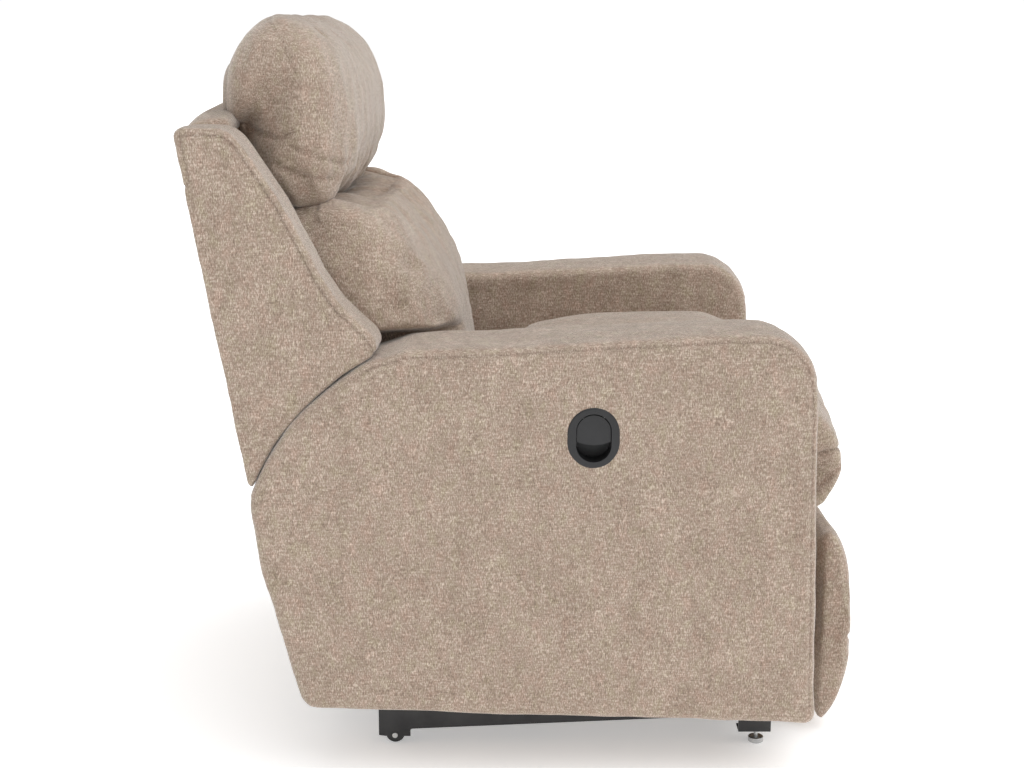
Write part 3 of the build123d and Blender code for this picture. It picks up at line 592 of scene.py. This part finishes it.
def make_wing(name):
    """The back's padded side panel, cut round the arm."""
    wing = side_block(name, WING_OUTLINE, -WING_OUTER, -WING_INNER + 4 * MM, 11 * MM)
    soften(wing, 4.6 * MM, 3)
    finish_skin(wing)
    rim = closed(WING_OUTLINE)
    swell(wing, 4 * MM, lambda p, n: ramp(line_distance(p[:, 1:], rim), 0, 0.07) * (np.abs(n[:, 0]) > 0.5))
    rumple(wing, 2.0 * MM, 0.09, seed=11.3)
    rumple(wing, 1.0 * MM, 0.03, seed=4.4)
    outer = lambda p, n: ramp(-p[:, 0], WING_OUTER - 0.030, WING_OUTER - 0.014)
    groove(wing, WING_SEAM, 2.2 * MM, 1.8 * MM, where=outer, inset=10 * MM, pucker=0.2, crease_shade=0.35)
    return wing


def build_wings():
    """Both wings."""
    right = make_wing("wing_panel_right")
    left = mirror_copy(right, "wing_panel_left")
    dress(right, "back", ["wing_right"])
    dress(left, "back", ["wing_left"])


LEAN = math.radians(10.1)
BACK_FOOT = (391, 429)
HEM = [(-0.36, 0.452), (0.36, 0.452)]
TOP_SEAM = [(-0.36, 0.884), (0.36, 0.884)]


def on_back(up, inward):
    """A side-view point in mm: up along the back's rear face, and inward from it."""
    y = BACK_FOOT[0] + up * math.sin(LEAN) - inward * math.cos(LEAN)
    z = BACK_FOOT[1] + up * math.cos(LEAN) + inward * math.sin(LEAN)
    return (y, z)


def build_back_panel():
    """The outside back: one stretched panel whose padded top edge arches between the wings."""
    corners = [
        (*on_back(6, 0), 6), (*on_back(250, -5), 60), (*on_back(478, -3), 30),
        (*on_back(494, 14), 22), (*on_back(491, 66), 20), (*on_back(466, 66), 6),
        (*on_back(440, 14), 6), (*on_back(8, 14), 6),
    ]
    panel = side_block("outside_back", rounded(corners), -WING_INNER - 2 * MM, WING_INNER + 2 * MM, 6 * MM)
    soften(panel, 6 * MM, 3)
    rear = lambda p, n: (n[:, 1] > 0.3) * 1.0
    swell(panel, 4 * MM, lambda p, n: rear(p, n) * (1 - (p[:, 0] / WING_INNER) ** 2))
    points = read_points(panel)
    arch = np.clip(1 - (points[:, 0] / WING_INNER) ** 2, 0, 1) ** 0.5
    points[:, 2] += 16 * MM * arch * ramp(points[:, 2], 0.80, 0.91)
    write_points(panel, points)
    finish_skin(panel)
    rumple(panel, 2.5 * MM, 0.16, seed=21.0)
    for line in (HEM, TOP_SEAM):
        groove(panel, line, 2.5 * MM, 2.5 * MM, axes=(0, 2), where=rear, pucker=0.3, crease_shade=0.4)
    dress(panel, "back", ["back_panel"])


HEAD_CENTRE = (345 * MM, 964 * MM)
HEAD_RADIUS = 101 * MM
HEAD_MIDDLE_Y = 347 * MM
HEAD_FRONT = [
    (242, 898), (242, 850), (246, 812), (262, 796), (300, 800), (386, 806), (408, 914), (444, 916),
]
GUSSET = [(0.428, 0.880), (0.429, 0.950), (0.424, 1.000), (0.402, 1.046)]
DART = [(0.366, 1.062), (0.341, 1.030), (0.322, 0.985)]
HEAD_FOLDS = [
    [(0.352, 0.860), (0.318, 0.842), (0.276, 0.838)],
    [(0.330, 0.884), (0.300, 0.872), (0.262, 0.858)],
    [(0.392, 0.905), (0.352, 0.895), (0.330, 0.905)],
]


def head_outline():
    """The head cushion's section at its middle: a round top on a straight front."""
    top = [
        (HEAD_CENTRE[0] + HEAD_RADIUS * math.cos(turn), HEAD_CENTRE[1] + HEAD_RADIUS * math.sin(turn))
        for turn in np.linspace(0, math.pi, 19)
    ]
    return top + millimetres(HEAD_FRONT)


def build_head_cushion():
    """The head cushion: a stuffed bolster, rounder and slimmer towards its ends."""
    half = WING_INNER - 12 * MM
    outline = head_outline()
    head = side_block("head_pillow", outline, -half, half, 20 * MM)
    soften(head, 8 * MM, 4)
    dome(head, outline, half, 62 * MM)
    stuff(head, 24 * MM)
    points = read_points(head)
    outward = (np.abs(points[:, 0]) / half) ** 2.4
    points[:, 1] = HEAD_MIDDLE_Y + (points[:, 1] - HEAD_MIDDLE_Y) * (1 - 0.16 * outward)
    points[:, 2] -= 5 * MM * outward * ramp(points[:, 2], 0.95, 1.05)
    points[:, 2] -= 20 * MM * (1 - outward) * (1 - ramp(points[:, 2], 0.80, 0.92))
    write_points(head, points)
    finish_skin(head)
    low_down = lambda p, n: 1 - ramp(p[:, 2], 0.84, 0.90)
    rumple(head, 8 * MM, 0.030, stretch=(1.2, 1.2, 0.35), seed=9.1, where=low_down)
    rumple(head, 7 * MM, 0.11, stretch=(1.0, 1.3, 0.6), seed=1.7)
    rumple(head, 2.6 * MM, 0.030, stretch=(1, 1.2, 0.5), seed=4.1)
    side = lambda p, n: ramp(np.abs(p[:, 0]), half - 0.12, half - 0.10)
    groove(head, GUSSET, 2.6 * MM, 2.2 * MM, where=side, pucker=0.2, crease_shade=0.45)
    groove(head, DART, 2.6 * MM, 1.5 * MM, where=side, pucker=0.2, crease_shade=0.25)
    # The folds are pressed creases with painted shade along them.
    for fold in HEAD_FOLDS:
        groove(head, fold, 4 * MM, 4 * MM, where=side, pucker=0.4, crease_shade=0.1)
    dress(head, "back", ["head_cushion"])


LUMBAR_CORNERS = [
    (112, 372, 20), (206, 366, 12), (*on_back(14, 72), 20), (*on_back(366, 62), 16),
    (300, 812, 20), (264, 826, 26), (216, 812, 50), (160, 752, 120), (119, 683, 100),
    (94, 600, 80), (86, 540, 60), (95, 450, 60),
]


LUMBAR_STEP = (0.617, 0.627)


def build_lumbar_cushion():
    """The lower back cushion: as wide as the wings above the arms, narrower between them."""
    wide, narrow = WING_INNER - 3 * MM, ARM_INNER - 6 * MM
    outline = rounded(LUMBAR_CORNERS)
    lumbar = side_block("lumbar_pillow", outline, -wide, wide, 20 * MM)
    soften(lumbar, 8 * MM, 4)
    dome(lumbar, outline, wide, 50 * MM)
    stuff(lumbar, 22 * MM)
    points = read_points(lumbar)
    outward = (np.abs(points[:, 0]) / wide) ** 2.4
    rear = 0.325 + (points[:, 2] - 0.429) * math.tan(LEAN)
    points[:, 1] += 30 * MM * outward * np.clip((rear - points[:, 1]) / 0.13, 0, 1)
    under_head = ramp(points[:, 2], 0.77, 0.81) * ramp(points[:, 1], 0.20, 0.24)
    points[:, 2] -= 24 * MM * (1 - outward) * under_head
    points[:, 0] *= narrow / wide + (1 - narrow / wide) * ramp(points[:, 2], *LUMBAR_STEP)
    write_points(lumbar, points)
    finish_skin(lumbar)
    gathers = lambda p, n: ramp(p[:, 2], 0.70, 0.80) * (n[:, 1] < 0.3)
    rumple(lumbar, 8 * MM, 0.040, stretch=(1.3, 0.35, 0.30), seed=5.2, where=gathers)
    rumple(lumbar, 7 * MM, 0.13, stretch=(0.8, 1, 1), seed=2.9)
    rumple(lumbar, 2.2 * MM, 0.035, seed=8.0)
    dress(lumbar, "back", ["lumbar_cushion"])


# ---- seat ---------------------------------------------------------------------------
SEAT_CORNERS = [
    (72, 352, 20), (78, 535, 26), (30, 560, 40), (-100, 586, 120), (-225, 594, 120),
    (-332, 584, 90), (-412, 532, 60), (-446, 474, 40), (-461, 415, 40), (-460, 360, 30),
    (-448, 319, 14), (-405, 319, 10), (-400, 345, 12),
]


SEAT_ROLL = [(-0.50, 0.441), (-0.445, 0.437), (-0.42, 0.428)]


def build_seat_cushion():
    """The seat cushion: a crowned top that rolls over the front to a sewn line."""
    half = ARM_INNER - 3 * MM
    seat = side_block("seat_pillow", rounded(SEAT_CORNERS), -half, half, 34 * MM)
    soften(seat, 8 * MM, 8)
    stuff(seat, 22 * MM)
    points = read_points(seat)
    outward = (np.abs(points[:, 0]) / half) ** 2
    points[:, 2] -= 44 * MM * outward * ramp(points[:, 2], 0.44, 0.58)
    points[:, 1] -= 9 * MM * (1 - outward) * ramp(-points[:, 1], 0.36, 0.43)
    write_points(seat, points)
    finish_skin(seat)
    front = lambda p, n: ramp(-p[:, 1], 0.38, 0.42)
    rumple(seat, 5 * MM, 0.045, stretch=(1.2, 0.5, 0.35), seed=6.1, where=front)
    rumple(seat, 5 * MM, 0.15, seed=13.0)
    rumple(seat, 1.8 * MM, 0.035, seed=14.0)
    groove(seat, SEAT_ROLL, 4 * MM, 5 * MM, where=front, pucker=0.35, crease_shade=0.3)
    dress(seat, "seat", ["seat_cushion"])


def build_rear_skirt():
    """The fabric-covered board that closes the seat's rear under the flap."""
    outline = millimetres([(297, 113), (316, 111), (370, 289), (352, 291)])
    skirt = side_block("rear_skirt_panel", outline, -ARM_INNER, ARM_INNER, 5 * MM)
    soften(skirt, 6 * MM, 3)
    finish_skin(skirt)
    rumple(skirt, 2 * MM, 0.14, seed=31.0)
    dress(skirt, "seat", ["rear_skirt"])


FLAP_TOP = Vector((0, 0.388, 0.436))
FLAP_BOTTOM = Vector((0, 0.362, 0.280))
FLAP_FOLD = 3 * MM
FLAP_WAVES = 38


def build_rear_flap():
    """The loose cloth that closes the gap between the back and the seat behind."""
    width, length = 2 * ARM_INNER - 10 * MM, (FLAP_TOP - FLAP_BOTTOM).length
    deselect()
    bpy.ops.mesh.primitive_grid_add(x_subdivisions=96, y_subdivisions=30, size=1)
    flap = bpy.context.object
    flap.name = "rear_flap_cloth"
    points = read_points(flap)
    across = points[:, 0] * width
    down = 0.5 - points[:, 1]
    along = np.array(FLAP_TOP) + down[:, None] * np.array(FLAP_BOTTOM - FLAP_TOP)
    bow = FLAP_FOLD * np.sin(down * math.pi)
    fold = FLAP_FOLD * np.sin(across * FLAP_WAVES) * np.sin(down * math.pi) + bow
    write_points(flap, np.column_stack([across, along[:, 1] - fold, along[:, 2]]))
    apply_modifier(flap, "SOLIDIFY", thickness=1.6 * MM, offset=0)
    finish_skin(flap)
    flap.data.materials.append(chenille)
    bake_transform(flap)
    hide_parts("rear_flap")


# ---- footrest -----------------------------------------------------------------------
PAD_CORNERS = [
    (-425, 20, 8), (-425, 314, 8), (-448, 315, 10), (-465, 280, 30), (-478, 228, 50),
    (-484, 172, 60), (-478, 100, 60), (-458, 44, 40), (-437, 17, 8),
]
PAD_REAR = -0.4235
PAD_PULLS = [
    [(-0.425, 0.290), (-0.452, 0.291)],
    [(-0.446, 0.176), (-0.463, 0.166), (-0.482, 0.147)],
    [(-0.431, 0.108), (-0.452, 0.102), (-0.455, 0.084)],
]


def build_footrest_pad():
    """The footrest's pad, with pulls in the cloth near its ends."""
    half = ARM_INNER - 8 * MM
    outline = rounded(PAD_CORNERS)
    pad = side_block("footrest_pillow", outline, -half, half, 15 * MM)
    soften(pad, 6 * MM, 4)
    stuff(pad, 9 * MM)
    points = read_points(pad)
    points[:, 0] = np.clip(points[:, 0], -ARM_INNER + 1 * MM, ARM_INNER - 1 * MM)
    points[:, 1] = np.minimum(points[:, 1], PAD_REAR)
    write_points(pad, points)
    finish_skin(pad)
    front = lambda p, n: (n[:, 1] < -0.2) * 1.0
    rumple(pad, 4 * MM, 0.045, stretch=(1.3, 1, 0.5), seed=16.0, where=front)
    rumple(pad, 3 * MM, 0.12, seed=17.0)
    ends = lambda p, n: ramp(np.abs(p[:, 0]), 0.17, 0.22) * front(p, n)
    # The pulls are pressed creases with painted shade along them.
    for pull in PAD_PULLS:
        groove(pad, pull, 4 * MM, 3.2 * MM, where=ends, pucker=0.3, crease_shade=0.2)
    dress(pad, "footrest", ["footrest_pad"])


# ---- setting ------------------------------------------------------------------------
FLOOR_TONE = (0.93, 0.93, 0.93)
FLOOR_GLOW = 0.36
SKY_LIGHT = 0.58
SKY_SEEN = 0.45
SUN_ENERGY = 1.9
SUN_WIDTH = math.radians(75)
SUN_TURN = (math.radians(20), math.radians(-9), 0)
LENS = 58.25
SENSOR_WIDTH = 36
CAMERA_PLACE = (-2.612, 0.0288, 1.0414)
CAMERA_TURN = (math.radians(90 - 12.06), 0, math.radians(-90))


def plain_material(name, tone, roughness):
    """The floor's even pale finish."""
    material, _, shader, _ = new_material(name)
    shader.inputs["Base Color"].default_value = (*tone, 1)
    shader.inputs["Roughness"].default_value = roughness
    shader.inputs["Emission Color"].default_value = (1, 1, 1, 1)
    shader.inputs["Emission Strength"].default_value = FLOOR_GLOW
    return material


def build_sky():
    """An even studio surround: white where it is seen, softer as a light."""
    world = bpy.data.worlds.new("studio")
    world.use_nodes = True
    tree = world.node_tree
    background = tree.nodes["Background"]
    background.inputs["Color"].default_value = (1, 1, 1, 1)
    seen = tree.nodes.new("ShaderNodeLightPath").outputs["Is Camera Ray"]
    strength = maths(tree, "MULTIPLY_ADD", seen, SKY_SEEN)
    strength.node.inputs[2].default_value = SKY_LIGHT
    tree.links.new(strength, background.inputs["Strength"])
    bpy.context.scene.world = world


def build_floor():
    """The pale floor that the chair stands on."""
    deselect()
    bpy.ops.mesh.primitive_plane_add(size=60, location=(0, 0, 0))
    floor = bpy.context.object
    floor.name = "floor"
    floor.data.materials.append(plain_material("pale_floor", FLOOR_TONE, 0.8))


def build_sun():
    """A wide soft light from above the front."""
    sun = bpy.data.lights.new("overhead", "SUN")
    sun.energy = SUN_ENERGY
    sun.angle = SUN_WIDTH
    lamp = bpy.data.objects.new("overhead", sun)
    bpy.context.collection.objects.link(lamp)
    lamp.rotation_euler = SUN_TURN


def build_camera():
    """The camera, level with the top of the back and at the chair's side."""
    data = bpy.data.cameras.new("camera")
    data.lens = LENS
    data.sensor_width = SENSOR_WIDTH
    camera = bpy.data.objects.new("camera", data)
    bpy.context.collection.objects.link(camera)
    camera.location = CAMERA_PLACE
    camera.rotation_euler = CAMERA_TURN
    bpy.context.scene.camera = camera


def build_setting():
    """Pale floor, soft studio light and the camera."""
    build_floor()
    build_sky()
    bpy.context.scene.view_settings.view_transform = "Standard"
    build_sun()
    build_camera()


build_setting()
finish_nodes()
build_arms()
build_wings()
build_back_panel()
build_head_cushion()
build_lumbar_cushion()
build_seat_cushion()
build_rear_skirt()
build_rear_flap()
build_footrest_pad()
